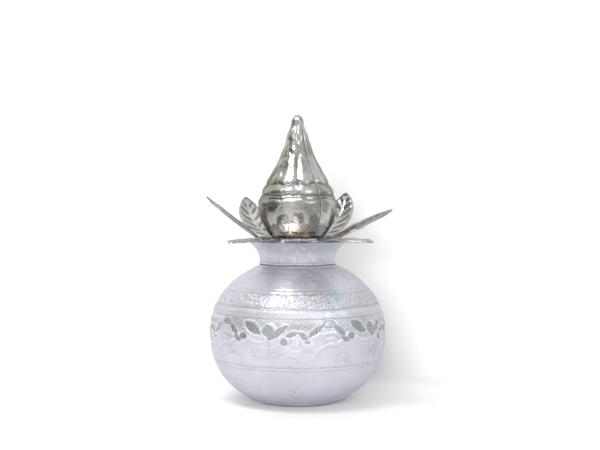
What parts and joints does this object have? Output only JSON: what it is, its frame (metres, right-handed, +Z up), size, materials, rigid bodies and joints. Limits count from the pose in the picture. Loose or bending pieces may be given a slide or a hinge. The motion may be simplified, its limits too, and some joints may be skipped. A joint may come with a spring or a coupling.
{
  "type": "kalash with coconut",
  "caption": "Round white-metal water pot with a flared mouth, a ring of pressed leaves on it and a hollow metal coconut standing in the ring.",
  "frame": {"origin": "centre of the flat underside of the base disc", "axes": "+Z up along the axis of the pot and the coconut, -Y towards the front"},
  "size_m": [0.1085, 0.1111, 0.1628],
  "materials": {
    "pot_silver": "satin, hammered and engraved",
    "leaf_silver": "polished, pressed",
    "coconut_silver": "polished"
  },
  "bodies": {
    "pot": {"base_disc": "pot_silver", "belly_bowl": "pot_silver", "shoulder_shell": "pot_silver", "neck_collar": "pot_silver"},
    "leaf_set": {"leaf_ring": "leaf_silver", "leaf_front": "leaf_silver", "leaf_front_right": "leaf_silver", "leaf_right": "leaf_silver", "leaf_back_right": "leaf_silver", "leaf_back": "leaf_silver", "leaf_back_left": "leaf_silver", "leaf_left": "leaf_silver", "leaf_front_left": "leaf_silver"},
    "coconut": {"coconut_front_half": "coconut_silver", "coconut_back_half": "coconut_silver"}
  },
  "joints": [
    {"name": "leaf_set_lift", "type": "slide", "parent": "pot", "child": "leaf_set", "axis": [0, 0, 1], "range_m": [0, 0.12]},
    {"name": "coconut_lift", "type": "slide", "parent": "leaf_set", "child": "coconut", "axis": [0, 0, 1], "range_m": [0, 0.12]}
  ]
}
